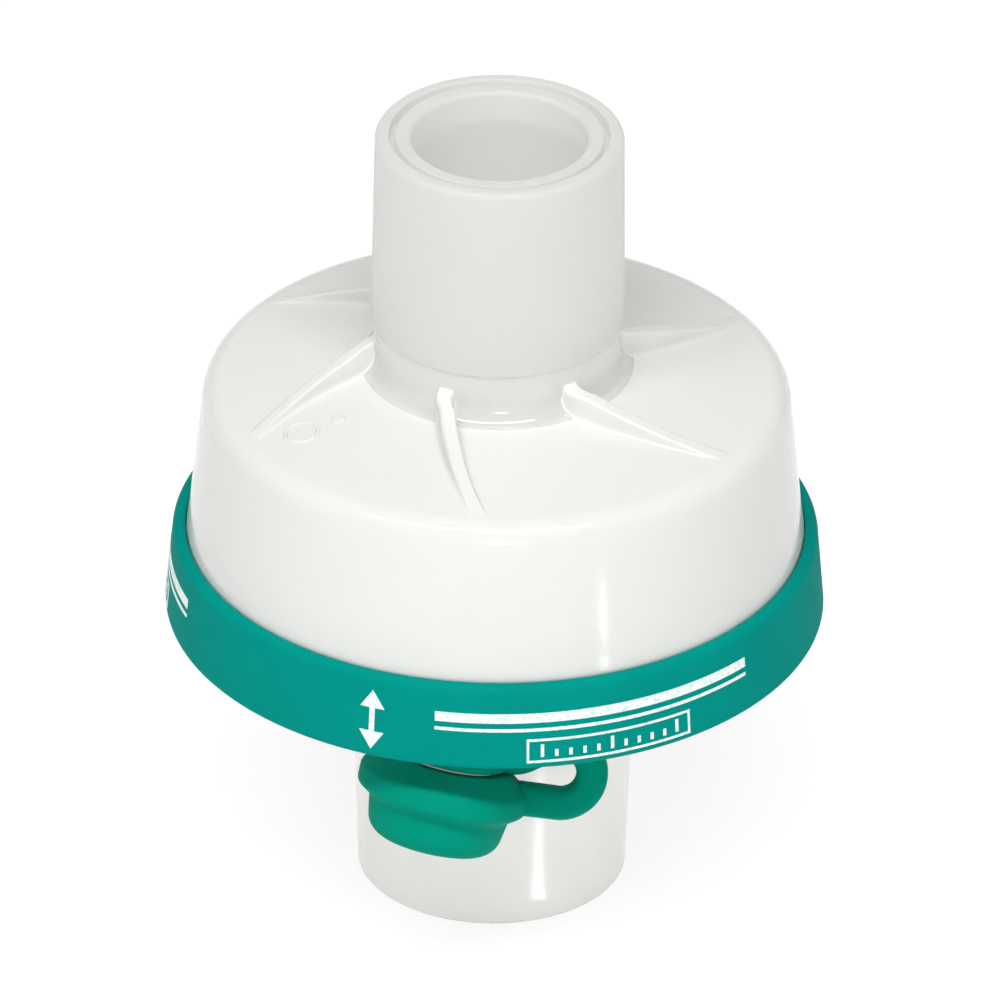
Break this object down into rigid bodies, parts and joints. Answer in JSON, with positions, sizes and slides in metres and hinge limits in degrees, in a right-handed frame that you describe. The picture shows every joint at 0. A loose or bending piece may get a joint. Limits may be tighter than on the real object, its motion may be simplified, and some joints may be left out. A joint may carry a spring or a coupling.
{
  "type": "heat and moisture exchanger filter",
  "caption": "Round breathing-circuit filter and moisture exchanger: translucent domed housing, soft ring at its joint, a conical port at each end and a capped gas sampling port.",
  "frame": {"origin": "centre of the lower port's rim, on the axis, where the part stands", "axes": "+Z along the axis towards the patient side port; the capped sampling port is on the -Y side"},
  "size_m": [0.0584, 0.0584, 0.0741],
  "materials": {
    "clear_plastic": "gloss",
    "soft_ring": "satin",
    "net": "matte",
    "felt": "matte",
    "core_paper": "matte",
    "soft_cap": "satin"
  },
  "bodies": {
    "housing": {"upper_housing": "clear_plastic", "lower_housing": "clear_plastic", "joint_band": "soft_ring", "patient_side_scrim": "net", "filter_felt": "felt", "machine_side_scrim": "net", "exchanger_core": "core_paper"},
    "tether": {"tether_collar": "soft_cap", "tether_strap": "soft_cap"},
    "cap": {"luer_cap": "soft_cap"}
  },
  "joints": [
    {"name": "tether_swivel", "type": "hinge", "parent": "housing", "child": "tether", "pos_m": [-0.00306, -0.01829, 0.02499], "axis": [-0.2056, -0.2936, -0.9336], "range_deg": [-30, 5]},
    {"name": "cap_pull", "type": "slide", "parent": "tether", "child": "cap", "axis": [-0.2056, -0.2936, -0.9336], "range_m": [0, 0.009], "deforming": ["tether_strap"]}
  ]
}
